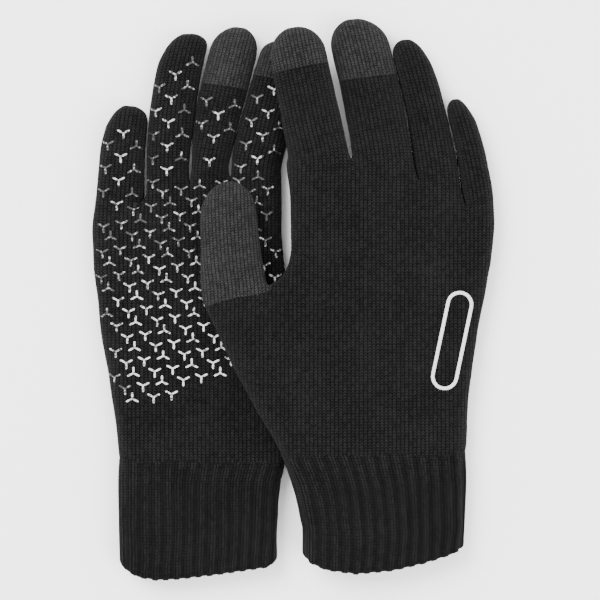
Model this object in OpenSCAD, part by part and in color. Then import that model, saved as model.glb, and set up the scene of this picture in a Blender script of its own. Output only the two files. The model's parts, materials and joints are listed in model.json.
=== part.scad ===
// A pair of knitted touchscreen gloves, laid down flat one over the other.
// The lower glove lies palm up. The upper glove lies back up, with its thumb side on the lower glove.
// Each glove is drawn in its own frame: origin at the middle of the cuff's mouth, +Y to the
// fingertips, +X to the little finger, +Z out of the back of the hand.

/* [Hand] */
// Half the thickness of the stuffed hand
hand_half = 6.1; // [5:0.1:7]
// Half the thickness of the stuffed stalls
stall_half = 5.8; // [4.8:0.1:6.4]
// Thickness of the knitted wall
wall = 1.6; // [1:0.1:2.2]

/* [Cuff] */
// Length of the ribbed cuff
cuff_length = 49; // [40:1:70]
// Half the thickness of the cuff
cuff_half = 6.75; // [5.6:0.05:8]
// Length of the bound edge at the cuff's mouth
hem_length = 3; // [2:0.5:6]
// Number of elastic bands laid in the rib
elastic_count = 4; // [2:1:6]
// Width of an elastic band
elastic_width = 2.4; // [1.5:0.1:4]

/* [Stalls] */
// Length of the thumb stall
thumb_length = 49; // [38:1:60]
// Length of the index stall
index_length = 58; // [46:1:70]
// Length of the middle stall
middle_length = 65; // [52:1:78]
// Length of the ring stall
ring_length = 64.5; // [50:0.5:78]
// Length of the pinky stall
pinky_length = 48.5; // [38:0.5:60]
// Length of the index stall's conductive tip
index_tip_length = 16; // [12:1:22]
// Length of the middle stall's conductive tip
middle_tip_length = 28; // [14:1:34]
// Gap between the hand and each stall
stall_gap = 0.4; // [0.3:0.1:1]

/* [Grip prints] */
// Length of one arm of a print
print_arm = 2.5; // [2:0.1:3]
// Width of a print's stroke
print_stroke = 1; // [0.8:0.1:1.4]
// Height that a print stands proud of the knit
print_proud = 0.4; // [0.2:0.1:0.6]
// Pitch of the prints across the hand
print_pitch_x = 12.7; // [11:0.1:15]
// Pitch of the prints along the hand
print_pitch_y = 10.8; // [9:0.1:13]

/* [Emblem] */
// Height of the stitched outline
emblem_height = 44; // [30:1:52]
// Width of the stitched outline
emblem_width = 12; // [9:1:16]
// Width of the stitching
emblem_stroke = 1.4; // [1:0.1:2]

/* [Lay] */
// Gap between the floor and the upper glove's hand
floor_gap = 1.2; // [0.8:0.1:2]
// Gap between the two gloves where the upper one lies level
glove_gap = 1; // [0.8:0.1:2]

/* [Hidden] */

// Colours of the yarns and prints.
knit = "#16171a";
rib = "#121316";
conductive = "#2c2d31";
elastic = "#3a3b3e";
silicone = "#c9cacc";
thread = "#e6e6e6";

// Where each glove's own origin lies on the floor. A longer cuff grows both ways.
lower_place = [-42.5, -95.7 - cuff_length / 2];
upper_place = [38.9, -92.2 - cuff_length / 2];

emblem_proud = 0.35;
// The least gap between the floor and the upper glove's cuff.
cuff_gap = 0.5;
// Heights of the two gloves' middle planes over the floor.
lower_height = max(cuff_half, hand_half + emblem_proud);
upper_height = max(hand_half + floor_gap, cuff_half + cuff_gap);
// How far the upper glove climbs to lie on the lower one's palm and its prints.
climb = lower_height + glove_gap + 2 * (hand_half + print_proud) - upper_height;
// The climb runs across the upper glove from climb_from, on the floor, to climb_to.
climb_from = 43;
climb_to = -32;
// The climb grows along the cuff between these two distances from its mouth.
climb_start_y = -30;
climb_full_y = cuff_length + 5;

// Each glove's lay: 0 side (1 = upper), 1 rows of the hand, 2 rows of the cuff, 3 the five stalls.
// A row is [y, thumb side x, little-finger side x]. The cuff's y is a share of its length, and the
// hand's is counted from the cuff's top, as are the stalls' roots.
// A stall is [root x, root y, lean, sideways bend at the tip, root width, tip width, drop share].
function cuff_rows(shape) = [for (row = shape) [row[0] * cuff_length, row[1], row[2]]];
function hand_rows(shape) = [for (row = shape) [row[0] + cuff_length, row[1], row[2]]];
function placed_stalls(shape) = [
    for (s = shape) [s[0], s[1] + cuff_length, s[2], s[3], s[4], s[5], s[6]]
];
lower_cuff_rows = cuff_rows([
    [0, -34.3, 34], [0.31, -34.3, 34.2], [0.61, -34.7, 34.4], [0.82, -35.7, 34.6], [1, -38.7, 34.8]
]);
lower_hand_rows = hand_rows([
    [0, -38.7, 34.8], [9, -41.5, 35.2], [21, -46.5, 36.8], [33, -51.5, 38.8], [45, -56, 40.9],
    [55, -60, 42.6], [62, -62.5, 43.6], [69, -42, 44.2], [76, -39, 45.1], [86, -36.7, 46.3],
    [98, -36.4, 46.4], [101.5, -36.4, 46], [107, -36.4, 24], [118, -36.6, 21.2], [121.8, -36.8, 3.2],
    [124.8, -36.8, 2]
]);
lower_stalls = placed_stalls([
    [-52.5, 69.5, -4, 1, 22, 20, 0],
    [-25.3, 128, -12.5, -1.5, 22.3, 20.8, 0],
    [-4.6, 127, -9, -4, 15.4, 22.4, 0],
    [13.3, 123, 2, -10.6, 18, 20.2, 0],
    [35.6, 108, -3.5, -2, 20.2, 19.2, 0]
]);
upper_cuff_rows = cuff_rows([
    [0, -35, 35], [0.31, -35.2, 35.3], [0.57, -37, 35.7], [0.76, -39.6, 36], [1, -44.8, 36.3]
]);
upper_hand_rows = hand_rows([
    [0, -44.8, 36.3], [9, -50, 36.6], [21, -56.8, 37.3], [33, -63.4, 38.6], [45, -69.4, 40.4],
    [55, -74, 42.1], [62, -77.4, 43.6], [69, -51, 45.2], [76, -45.3, 46.3], [86, -41, 47.9],
    [98, -39.6, 49], [101.5, -39.8, 48.9], [106.7, -40.1, 36.5], [116.2, -40.8, 33.6],
    [116.8, -40.9, 14], [124.8, -41.5, 12.4]
]);
upper_stalls = placed_stalls([
    [-65, 69.5, -7, 3, 28.6, 22.6, 0],
    [-28.1, 128.5, -11.7, 0, 26.4, 24, 0],
    [-0.4, 127, -7.5, -4.5, 26.6, 25.6, 1],
    [23.9, 118, -5, -8, 18.2, 16, 1],
    [43, 108, -6, -6, 12.2, 11.8, 1]
]);
lower_lay = [0, lower_hand_rows, lower_cuff_rows, lower_stalls];
upper_lay = [1, upper_hand_rows, upper_cuff_rows, upper_stalls];

// Where the conductive tips are joined on.
index_seam = index_length - index_tip_length;
middle_seam = middle_length - middle_tip_length;
stall_lengths = [thumb_length, index_length, middle_length, ring_length, pinky_length];
THUMB = 0;
INDEX = 1;
MIDDLE = 2;
RING = 3;
PINKY = 4;

// How far the hand's stub for each stall reaches back into the palm.
stub_reach = [6, 20, 20, 18, 7];
// A cut overruns the face it opens by this much.
overrun = 1;
// The round end of a stall takes this length, measured from its tip.
tip_round = 11;
tip_round_flat = 6.5;
// The last ring of a stall is this far short of the tip, and its face closes the stall.
tip_face = 0.3;
// How much a stall's rounded outline departs from an ellipse, which would be 2.
stall_fullness = 2.5;
stall_points = 20;
// Points along the flat of a hand's ring, and in each quarter of its round ends.
row_points = 10;
end_points = 2;
// A stall's first print lies this far from its root, and a print is sunk this far into the knit.
print_start = 5;
print_sunk = 0.4;
elastic_thickness = 0.8;
elastic_gap = 0.15;
emblem_lean = 12;
emblem_place = [30, cuff_length + 49];

function smooth(t) = let (u = min(max(t, 0), 1)) u * u * (3 - 2 * u);
function mix(a, b, t) = a + (b - a) * t;

// Height of a glove's middle surface over its own plane: the upper one climbs, the lower is flat.
function rise(lay, x, y) =
    lay[0] * climb * smooth((climb_from - x) / (climb_from - climb_to))
    * smooth((y - climb_start_y) / (climb_full_y - climb_start_y));
function slope(lay, x, y) = atan((rise(lay, x - 3, y) - rise(lay, x + 3, y)) / 6);

// Skin over rings that each start at their right end and hold the same even number of points.
// A flat face closes each end, cut in strips between the ring's upper and lower halves.
module skin(rings) {
    n = len(rings[0]);
    last = (len(rings) - 1) * n;
    sides = [
        for (r = [0 : len(rings) - 2], i = [0 : n - 1])
            let (a = r * n + i, b = r * n + (i + 1) % n)
            each [[a, b, b + n], [a, b + n, a + n]]
    ];
    strips = [for (k = [0 : n / 2 - 2]) each [[k, k + 1, n - 2 - k], [k, n - 2 - k, n - 1 - k]]];
    polyhedron(
        points = [for (ring = rings) each ring],
        faces = concat(
            [for (t = strips) [t[2], t[1], t[0]]],
            sides,
            [for (t = strips) [for (i = t) i + last]]
        )
    );
}

// One flat-sided ring across a hand or cuff at y, from x0 to x1, following the rise.
function row_ring(lay, y, x0, x1, half) = let (
    step = 180 / (2 * end_points + 1),
    upper = concat(
        [for (i = [end_points : -1 : 1]) [x1 - half + half * sin(step * i), half * cos(step * i)]],
        [for (i = [0 : row_points]) [mix(x1 - half, x0 + half, i / row_points), half]],
        [for (i = [1 : end_points]) [x0 + half - half * sin(step * i), half * cos(step * i)]]
    ),
    count = len(upper),
    outline = concat(upper, [for (i = [count - 1 : -1 : 0]) [upper[i][0], -upper[i][1]]])
) [for (p = outline) [p[0], y, p[1] + rise(lay, p[0], y)]];

module rows_skin(lay, rows, half, inset, first, last) {
    skin([
        for (i = [0 : len(rows) - 1])
            let (y = rows[i][0] + (i == 0 ? first : i == len(rows) - 1 ? last : 0))
            row_ring(lay, y, rows[i][1] + inset, rows[i][2] - inset, half - inset)
    ]);
}

// The place on a stall's middle line at distance d from its root, in the glove's frame.
function stall_centre(lay, which, d) = let (
    s = lay[3][which],
    t = d / stall_lengths[which],
    side = s[3] * t * max(t, 0),
    z = rise(lay, s[0], s[1]) * (1 - s[6] * smooth(t))
) [s[0] + d * sin(s[2]) + side * cos(s[2]), s[1] + d * cos(s[2]) - side * sin(s[2]), z];

// One ring of a stall, d from its root. Each ring stands upright, across the stall's root direction.
function stall_ring(lay, which, d, inset) = let (
    s = lay[3][which],
    length = stall_lengths[which] - inset,
    t = min(max(d / length, 0), 1),
    left = max(length - d, tip_face),
    width_share = left < tip_round ? sqrt(1 - pow(1 - left / tip_round, 2)) : 1,
    flat_share = left < tip_round_flat ? sqrt(1 - pow(1 - left / tip_round_flat, 2)) : 1,
    a = (mix(s[4], s[5], t) / 2 - inset) * width_share,
    b = (stall_half - inset) * flat_share,
    roll = slope(lay, s[0], s[1]) * (1 - t),
    c = stall_centre(lay, which, d)
) [
    for (i = [0 : stall_points - 1])
        let (
            angle = 360 * i / stall_points,
            u = a * sign(cos(angle)) * pow(abs(cos(angle)), 2 / stall_fullness),
            v = b * sign(sin(angle)) * pow(abs(sin(angle)), 2 / stall_fullness),
            across = u * cos(roll) + v * sin(roll),
            up = v * cos(roll) - u * sin(roll)
        )
        [c[0] + across * cos(s[2]), c[1] - across * sin(s[2]), c[2] + up]
];

module stall_skin(lay, which, stops, inset) {
    skin([for (d = stops) stall_ring(lay, which, d, inset)]);
}

// Distances at which a stall's rings stand, between two given ones, closer together at its tip.
function stops(length, from, to) = concat(
    [from],
    [for (d = [0.25, 0.5, 0.7]) if (d * length > from + 2 && d * length < to - 2) d * length],
    [for (e = [tip_round, 7, 4, 2, 0.9]) if (length - e > from + 1 && length - e < to - 0.4) length - e],
    [to]
);

// A hollow piece of a stall from one distance to another. The far piece has the closed tip.
module stall_piece(lay, which, from, to) {
    length = stall_lengths[which];
    closed = to >= length;
    difference() {
        stall_skin(lay, which, stops(length, from, closed ? length - tip_face : to), 0);
        stall_skin(
            lay, which,
            stops(length - wall, from - overrun, closed ? length - wall - tip_face : to + overrun), wall
        );
    }
}

module stub_outer(lay, which) {
    stall_skin(lay, which, [-stub_reach[which], -stall_gap], 0);
}

module stub_bore(lay, which) {
    stall_skin(lay, which, [wall - stub_reach[which], overrun], wall);
}

module hand(lay) {
    difference() {
        union() {
            rows_skin(lay, lay[1], hand_half, 0, 0, 0);
            for (which = [THUMB : PINKY]) stub_outer(lay, which);
        }
        rows_skin(lay, lay[1], hand_half, wall, -overrun, -wall);
        for (which = [THUMB : PINKY]) stub_bore(lay, which);
    }
}

module cuff(lay) {
    difference() {
        rows_skin(lay, lay[2], cuff_half, 0, 0, 0);
        rows_skin(lay, lay[2], cuff_half, wall, -overrun, overrun);
    }
}

module cuff_hem(lay) {
    mouth = lay[2][0];
    rows = [[-hem_length, mouth[1] + wall / 2, mouth[2] - wall / 2], [0, mouth[1], mouth[2]]];
    difference() {
        rows_skin(lay, rows, cuff_half, 0, 0, 0);
        rows_skin(lay, rows, cuff_half, wall, -overrun, overrun);
    }
}

module cuff_elastic(lay) {
    outer = wall + elastic_gap;
    step = (cuff_length - 10) / elastic_count;
    sides = [for (side = [1, 2]) [for (row = lay[2]) [row[0], row[side]]]];
    for (i = [0 : elastic_count - 1]) {
        y = 5 + step * i;
        rows = [for (end = [y, y + elastic_width]) [end, lookup(end, sides[0]), lookup(end, sides[1])]];
        difference() {
            rows_skin(lay, rows, cuff_half, outer, 0, 0);
            rows_skin(lay, rows, cuff_half, outer + elastic_thickness, -overrun, overrun);
        }
    }
}

// A three-armed print, standing on z = 0 with one arm along +Y.
module grip_print() {
    s = print_stroke / 2;
    notch = s / cos(30);
    linear_extrude(print_sunk + print_proud)
        polygon([
            for (arm = [0 : 2], p = [0 : 2])
                let (
                    corner = [[s, print_arm], [-s, print_arm], notch * [-cos(30), sin(30)]][p],
                    turn = 120 * arm
                )
                [
                    corner[0] * cos(turn) - corner[1] * sin(turn),
                    corner[0] * sin(turn) + corner[1] * cos(turn)
                ]
        ]);
}

// A print on the palm side of a surface at height z that is tilted by roll across the glove.
module print_under(x, y, z, roll, turn) {
    translate([x, y, z])
        rotate([0, 180 + roll, 0])
            translate([0, 0, -print_sunk])
                rotate([0, 0, turn])
                    grip_print();
}

// The prints' lattice: for each stem-down print there are two stem-up ones beside it.
lattice = [[0, 0, 180], [1 / 3, -1 / 3, 0], [2 / 3, -2 / 3, 0]];

module palm_grip(lay) {
    left = [for (row = lay[1]) [row[0], row[1]]];
    right = [for (row = lay[1]) [row[0], row[2]]];
    edge = print_arm + hand_half;
    for (i = [-4 : 3], j = [0 : 8], site = lattice) {
        x = (i + site[0]) * print_pitch_x;
        y = cuff_length + 29 + (j + site[1]) * print_pitch_y;
        lowest = cuff_length + 31 - 0.28 * x;
        inside = x > max(lookup(y, left), -36) + edge && x < lookup(y + print_arm, right) - edge;
        if (inside && y > lowest && y < cuff_length + 105)
            print_under(x, y, rise(lay, x, y) - hand_half, slope(lay, x, y), site[2]);
    }
}

// A column of prints down the middle of a stall's palm side, ending short of the given distance.
module stall_grip(lay, which, end) {
    lean = lay[3][which][2];
    for (d = [print_start : print_pitch_y : end - print_arm]) {
        c = stall_centre(lay, which, d);
        turn = round(d / print_pitch_y) % 2 * 180;
        roll = slope(lay, lay[3][which][0], lay[3][which][1]) * (1 - d / stall_lengths[which]);
        print_under(c[0], c[1], c[2] - stall_half, roll, turn + lean);
    }
}

// A slim round-ended outline stitched on the back of the hand.
module emblem(lay) {
    r = emblem_width / 2;
    straight = emblem_height / 2 - r;
    place = [emblem_place[0], emblem_place[1], rise(lay, emblem_place[0], emblem_place[1]) + hand_half];
    translate(place)
        rotate([0, slope(lay, place[0], place[1]), 0])
            rotate([0, 0, -emblem_lean])
                translate([0, 0, -emblem_proud])
                    difference() {
                        slot_block(r, straight, 2 * emblem_proud);
                        translate([0, 0, -overrun])
                            slot_block(r - emblem_stroke, straight, 2 * (emblem_proud + overrun));
                    }
}

module slot_block(r, straight, height) {
    for (end = [-straight, straight])
        translate([0, end, 0]) cylinder(r = r, h = height, $fn = 48);
    translate([-r, -straight, 0]) cube([2 * r, 2 * straight, height]);
}

// The lower glove lies palm up, so it is turned over about its own length.
module lower() {
    translate([lower_place[0], lower_place[1], lower_height])
        rotate([0, 180, 0])
            children();
}

module upper() {
    translate([upper_place[0], upper_place[1], upper_height])
        children();
}

module lower_hand() { color(knit) lower() hand(lower_lay); }
module lower_cuff() { color(rib) lower() cuff(lower_lay); }
module lower_cuff_hem() { color(rib) lower() cuff_hem(lower_lay); }
module lower_cuff_elastic() { color(elastic) lower() cuff_elastic(lower_lay); }
module lower_thumb() { color(conductive) lower() stall_piece(lower_lay, THUMB, 0, thumb_length); }
module lower_index() { color(knit) lower() stall_piece(lower_lay, INDEX, 0, index_seam); }
module lower_index_tip() {
    color(conductive) lower() stall_piece(lower_lay, INDEX, index_seam, index_length);
}
module lower_middle() { color(knit) lower() stall_piece(lower_lay, MIDDLE, 0, middle_seam); }
module lower_middle_tip() {
    color(conductive) lower() stall_piece(lower_lay, MIDDLE, middle_seam, middle_length);
}
module lower_ring() { color(knit) lower() stall_piece(lower_lay, RING, 0, ring_length); }
module lower_pinky() { color(knit) lower() stall_piece(lower_lay, PINKY, 0, pinky_length); }
module lower_palm_grip() { color(silicone) lower() palm_grip(lower_lay); }
module lower_index_grip() { color(silicone) lower() stall_grip(lower_lay, INDEX, index_seam); }
module lower_middle_grip() { color(silicone) lower() stall_grip(lower_lay, MIDDLE, middle_seam); }
module lower_ring_grip() { color(silicone) lower() stall_grip(lower_lay, RING, ring_length - tip_round); }
module lower_pinky_grip() {
    color(silicone) lower() stall_grip(lower_lay, PINKY, pinky_length - tip_round);
}
module lower_emblem() { color(thread) lower() emblem(lower_lay); }

module upper_hand() { color(knit) upper() hand(upper_lay); }
module upper_cuff() { color(rib) upper() cuff(upper_lay); }
module upper_cuff_hem() { color(rib) upper() cuff_hem(upper_lay); }
module upper_cuff_elastic() { color(elastic) upper() cuff_elastic(upper_lay); }
module upper_thumb() { color(conductive) upper() stall_piece(upper_lay, THUMB, 0, thumb_length); }
module upper_index() { color(knit) upper() stall_piece(upper_lay, INDEX, 0, index_seam); }
module upper_index_tip() {
    color(conductive) upper() stall_piece(upper_lay, INDEX, index_seam, index_length);
}
module upper_middle() { color(knit) upper() stall_piece(upper_lay, MIDDLE, 0, middle_seam); }
module upper_middle_tip() {
    color(conductive) upper() stall_piece(upper_lay, MIDDLE, middle_seam, middle_length);
}
module upper_ring() { color(knit) upper() stall_piece(upper_lay, RING, 0, ring_length); }
module upper_pinky() { color(knit) upper() stall_piece(upper_lay, PINKY, 0, pinky_length); }
module upper_palm_grip() { color(silicone) upper() palm_grip(upper_lay); }
module upper_index_grip() { color(silicone) upper() stall_grip(upper_lay, INDEX, index_seam); }
module upper_middle_grip() { color(silicone) upper() stall_grip(upper_lay, MIDDLE, middle_seam); }
module upper_ring_grip() { color(silicone) upper() stall_grip(upper_lay, RING, ring_length - tip_round); }
module upper_pinky_grip() {
    color(silicone) upper() stall_grip(upper_lay, PINKY, pinky_length - tip_round);
}
module upper_emblem() { color(thread) upper() emblem(upper_lay); }

lower_hand();
lower_cuff();
lower_cuff_hem();
lower_cuff_elastic();
lower_thumb();
lower_index();
lower_index_tip();
lower_middle();
lower_middle_tip();
lower_ring();
lower_pinky();
lower_palm_grip();
lower_index_grip();
lower_middle_grip();
lower_ring_grip();
lower_pinky_grip();
lower_emblem();
upper_hand();
upper_cuff();
upper_cuff_hem();
upper_cuff_elastic();
upper_thumb();
upper_index();
upper_index_tip();
upper_middle();
upper_middle_tip();
upper_ring();
upper_pinky();
upper_palm_grip();
upper_index_grip();
upper_middle_grip();
upper_ring_grip();
upper_pinky_grip();
upper_emblem();
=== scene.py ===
# %% [markdown]
# A pair of knitted touchscreen gloves, laid down flat, one over the other.
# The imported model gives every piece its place. This script builds the soft, knitted look around it:
# each glove is pushed out of one small grid of faces, the way a mitten is knitted from the cuff up,
# and only then cut into the pieces that the model names.

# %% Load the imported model
import json
import math

import bmesh
import bpy
from mathutils import Matrix, Vector, noise
from mathutils.bvhtree import BVHTree

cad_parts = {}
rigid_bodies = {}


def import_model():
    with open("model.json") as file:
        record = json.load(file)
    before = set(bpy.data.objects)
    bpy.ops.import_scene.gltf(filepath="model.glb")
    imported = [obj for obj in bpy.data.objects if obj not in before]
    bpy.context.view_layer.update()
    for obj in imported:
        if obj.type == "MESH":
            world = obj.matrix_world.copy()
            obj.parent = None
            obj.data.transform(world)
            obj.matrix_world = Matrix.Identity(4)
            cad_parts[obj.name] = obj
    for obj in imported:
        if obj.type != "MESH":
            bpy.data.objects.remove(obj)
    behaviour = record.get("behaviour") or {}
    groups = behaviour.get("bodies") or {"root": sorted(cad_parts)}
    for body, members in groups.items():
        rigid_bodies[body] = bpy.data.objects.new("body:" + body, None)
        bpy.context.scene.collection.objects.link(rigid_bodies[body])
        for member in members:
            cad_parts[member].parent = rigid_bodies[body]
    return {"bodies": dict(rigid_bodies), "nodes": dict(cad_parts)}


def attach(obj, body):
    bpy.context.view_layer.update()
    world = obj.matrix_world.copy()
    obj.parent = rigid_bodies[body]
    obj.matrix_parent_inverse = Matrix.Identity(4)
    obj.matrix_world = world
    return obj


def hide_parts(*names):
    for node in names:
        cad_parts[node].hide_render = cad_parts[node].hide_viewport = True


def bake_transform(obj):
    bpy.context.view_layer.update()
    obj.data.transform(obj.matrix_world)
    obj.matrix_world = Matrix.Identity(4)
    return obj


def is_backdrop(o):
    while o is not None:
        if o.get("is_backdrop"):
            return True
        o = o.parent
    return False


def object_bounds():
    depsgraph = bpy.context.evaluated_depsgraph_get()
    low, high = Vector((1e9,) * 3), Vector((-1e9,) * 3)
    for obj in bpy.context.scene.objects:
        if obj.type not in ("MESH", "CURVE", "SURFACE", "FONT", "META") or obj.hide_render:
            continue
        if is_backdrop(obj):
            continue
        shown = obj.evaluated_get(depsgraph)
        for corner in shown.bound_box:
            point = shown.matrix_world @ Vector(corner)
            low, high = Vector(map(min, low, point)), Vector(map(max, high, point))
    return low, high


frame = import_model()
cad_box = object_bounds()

MM = 0.001

# %% [markdown]
# ## How the two gloves lie
# Both are drawn in a glove's own frame: the origin is at the middle of the cuff's mouth, Y runs to
# the fingertips, X to the little finger and Z out of the back of the hand. The lower glove lies palm
# up, so it is turned over about its length. The upper one climbs from the floor onto the lower one,
# which a smooth ramp across its width gives. All the sizes here are millimetres.

# %% Sizes that both gloves share
HAND_HALF = 6.1
STALL_HALF = 5.8
CUFF_HALF = 6.75
CUFF_TOP = 49.0
FLOOR_GAP = 1.2
CLIMB = 13.45
CLIMB_FROM, CLIMB_TO = 43.0, -32.0
CLIMB_START_Y, CLIMB_FULL_Y = -30.0, 54.0
STALLS = ("thumb", "index", "middle", "ring", "pinky")
LENGTHS = {"thumb": 49.0, "index": 58.0, "middle": 65.0, "ring": 64.5, "pinky": 48.5}
TIPS = {"index": 16.0, "middle": 28.0}

# %% Each glove's lay: its place, its outline and its five stalls
# A stall is (root x, root y, lean in degrees, bend at the tip, root width, tip width, drop share).
LAYS = {
    "lower": {
        "place": (-42.5, -120.2),
        "left": [(0, -34.3), (30, -34.7), (40, -35.9), (49, -38.9), (58, -42), (70, -46.7), (82, -51.7),
                 (94, -56.2), (104, -60.2), (113, -63.5), (121, -41), (135, -37), (147, -36.6), (175, -36.8)],
        "right": [(0, 34), (30, 34.4), (49, 34.8), (58, 35.2), (70, 36.8), (82, 38.8), (94, 40.9),
                  (104, 42.6), (118, 44.4), (135, 46.3), (150, 46.6)],
        "thumb_line": [(49, -32), (121, -41)],
        "thumb_base": [(-63.5, 113), (-56.5, 117), (-49, 119), (-41, 120)],
        "finger_base": [(-36.8, 174), (-29, 174), (-21.5, 172), (-14.5, 170.5), (-8.5, 171), (-2.5, 169.5),
                        (3.4, 167), (9.7, 167.5), (16, 166.5), (22.8, 164.5), (30.5, 159.5), (38.5, 155),
                        (46.6, 150)],
        "stalls": {"thumb": (-52.5, 118.5, -4, 1, 22, 20, 0),
                   "index": (-25.3, 177, -12.5, -1.5, 22.3, 20.8, 0),
                   "middle": (-4.6, 176, -9, -4, 15.4, 22.4, 0), "ring": (13.3, 172, 2, -10.6, 18, 20.2, 0),
                   "pinky": (35.6, 157, -3.5, -2, 20.2, 19.2, 0)},
    },
    "upper": {
        "place": (38.9, -116.7),
        "left": [(0, -35), (15, -35.2), (28, -37), (37, -39.6), (49, -44.8), (58, -50), (70, -56.8),
                 (82, -63.4), (94, -69.4), (104, -74), (113, -78.2), (121, -51), (127, -44.6), (135, -41.2),
                 (147, -39.6), (162, -40.8), (175, -42.6)],
        "right": [(0, 35), (28, 35.7), (49, 36.3), (70, 37.3), (82, 38.6), (94, 40.4), (104, 42.1),
                  (118, 45.2), (135, 47.9), (150, 49.4)],
        "thumb_line": [(49, -34), (121, -50)],
        "thumb_base": [(-78.2, 113), (-69.5, 117), (-59.5, 119.5), (-50, 120.5)],
        "finger_base": [(-42.6, 175), (-33.4, 176.5), (-24.2, 177), (-14.6, 176.5), (-4, 174), (6.5, 170.5),
                        (15.5, 167), (22.5, 162.8), (29.5, 158.5), (36.6, 154.2), (41, 152.4), (45.2, 151),
                        (49.4, 149.5)],
        "stalls": {"thumb": (-65, 118.5, -7, 3, 28.6, 22.6, 0),
                   "index": (-28.1, 177.5, -11.7, 0, 26.4, 24, 0),
                   "middle": (-0.4, 176, -7.5, -4.5, 26.6, 25.6, 1), "ring": (23.9, 167, -5, -8, 18.2, 16, 1),
                   "pinky": (43, 157, -6, -6, 12.2, 11.8, 1)},
    },
}


def smooth(t):
    u = min(max(t, 0.0), 1.0)
    return u * u * (3 - 2 * u)


def mix(a, b, t):
    return a + (b - a) * t


def along(line, y):
    """The value at y on a line of (y, value) points."""
    for (y0, v0), (y1, v1) in zip(line, line[1:]):
        if y <= y1:
            return mix(v0, v1, min(max((y - y0) / (y1 - y0), 0.0), 1.0))
    return line[-1][1]


def rise(side, x, y):
    if side == "lower":
        return 0.0
    across = smooth((CLIMB_FROM - x) / (CLIMB_FROM - CLIMB_TO))
    return CLIMB * across * smooth((y - CLIMB_START_Y) / (CLIMB_FULL_Y - CLIMB_START_Y))


def slope(side, x, y):
    return math.atan((rise(side, x - 3, y) - rise(side, x + 3, y)) / 6)


def to_world(side, p):
    """A point of a glove's own frame, in millimetres, as a place in the scene, in metres."""
    px, py = LAYS[side]["place"]
    if side == "lower":
        return Vector((px - p[0], py + p[1], CUFF_HALF - p[2])) * MM
    return Vector((px + p[0], py + p[1], HAND_HALF + FLOOR_GAP + p[2])) * MM


print("the upper glove climbs", CLIMB, "mm")

# %% [markdown]
# ## The stalls' middle lines
# Each stall leans, bends a little towards its tip and, on the upper glove, sinks to the floor.
# A frame on this line gives every ring of the stall its place, and later gives the knit its direction.

# %% A stall's middle line and ring
def stall_centre(side, name, d):
    x, y, lean, bend, _w0, _w1, drop = LAYS[side]["stalls"][name]
    t = d / LENGTHS[name]
    aside = bend * t * max(t, 0)
    lean = math.radians(lean)
    z = rise(side, x, y) * (1 - drop * smooth(t))
    return Vector((x + d * math.sin(lean) + aside * math.cos(lean),
                   y + d * math.cos(lean) - aside * math.sin(lean), z))


TOUCHING = {"lower": (("index", "middle"), ("middle", "ring"), ("ring", "pinky")),
            "upper": (("middle", "ring"), ("ring", "pinky"))}
REST_GAP = 0.12


def half_width(side, name, d):
    """Half a stall's width at d, before it is spread to meet its neighbours."""
    _x, _y, _lean, _bend, w0, w1, _drop = LAYS[side]["stalls"][name]
    return mix(w0, w1, min(max(d / LENGTHS[name], 0), 1)) / 2


def spread(side, name, d, sign):
    """How far a flank (-1 on the thumb's side, +1 on the other) swells to lie against the next stall."""
    for a, b in TOUCHING[side]:
        if (name, sign) not in ((a, 1), (b, -1)):
            continue
        other = b if name == a else a
        here = stall_centre(side, name, d)
        places = range(0, int(LENGTHS[other]) + 1, 2)
        near = min(places, key=lambda e: (stall_centre(side, other, e) - here).xy.length)
        gap = (stall_centre(side, other, near) - here).xy.length - half_width(side, name, d) \
            - half_width(side, other, near) - REST_GAP
        past = smooth((LENGTHS[other] - 3 - near) / 9)
        return max(min(gap / 2, 4.0), -1.0) * past * smooth(d / 9)
    return 0.0


def tip_round(side, name, sign):
    """How long the round of the tip is on one flank: short where it is tucked against a longer finger."""
    longer = {"pinky": ("ring", -1), "ring": ("middle", -1), "index": ("middle", 1)}
    other, tucked = longer.get(name, (None, 0))
    if (name, other) not in TOUCHING[side] and (other, name) not in TOUCHING[side]:
        return TIP_ROUND
    return 6.0 if sign == tucked else 19.0


TIP_ROUND, TIP_FLAT = 12.5, 7.5
# A stall's ring has four places across: its two flanks and two on top. Each is (width, height).
FLANK, CROWN = (0.86, 0.72), (0.42, 1.13)
BULGE = 1.07


def stall_spot(side, name, d, place, level):
    """Where a stall's ring at d puts a corner: one of four places across, at top, middle or bottom."""
    x, y, lean, _bend, w0, w1, _drop = LAYS[side]["stalls"][name]
    length = LENGTHS[name]
    t = min(max(d / length, 0), 1)
    left = max(length - d, 0.1)
    sign = -1 if place < 2 else 1
    reach = tip_round(side, name, sign)
    wide = math.sqrt(1 - (1 - left / reach) ** 2) if left < reach else 1
    flat = math.sqrt(1 - (1 - left / TIP_FLAT) ** 2) if left < TIP_FLAT else 1
    half = (mix(w0, w1, t) / 2 + spread(side, name, min(max(d, 0), length), sign)) * wide
    share, high = FLANK if place in (0, 3) else CROWN
    if level == 0 and place in (0, 3):
        share = BULGE
    u = half * share * sign
    v = STALL_HALF * flat * high * level
    roll = slope(side, x, y) * (1 - t)
    across, up = u * math.cos(roll) + v * math.sin(roll), v * math.cos(roll) - u * math.sin(roll)
    lean = math.radians(lean)
    c = stall_centre(side, name, d)
    return Vector((c.x + across * math.cos(lean), c.y - across * math.sin(lean), c.z + up))


print("upper middle tip at", [round(a, 1) for a in stall_centre("upper", "middle", LENGTHS["middle"])])

# %% [markdown]
# ## Pushing a glove out of a grid
# A glove's cage starts as a grid of 15 by 2 faces, as wide as the wrist. Its faces are extruded again
# and again up the hand. At the crotch of the thumb three columns go their own way, and at the roots
# of the fingers the other twelve part, three to a finger. That keeps every crotch a smooth saddle,
# which joining tubes with a boolean would not. A subdivision surface then rounds the cage.

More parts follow.
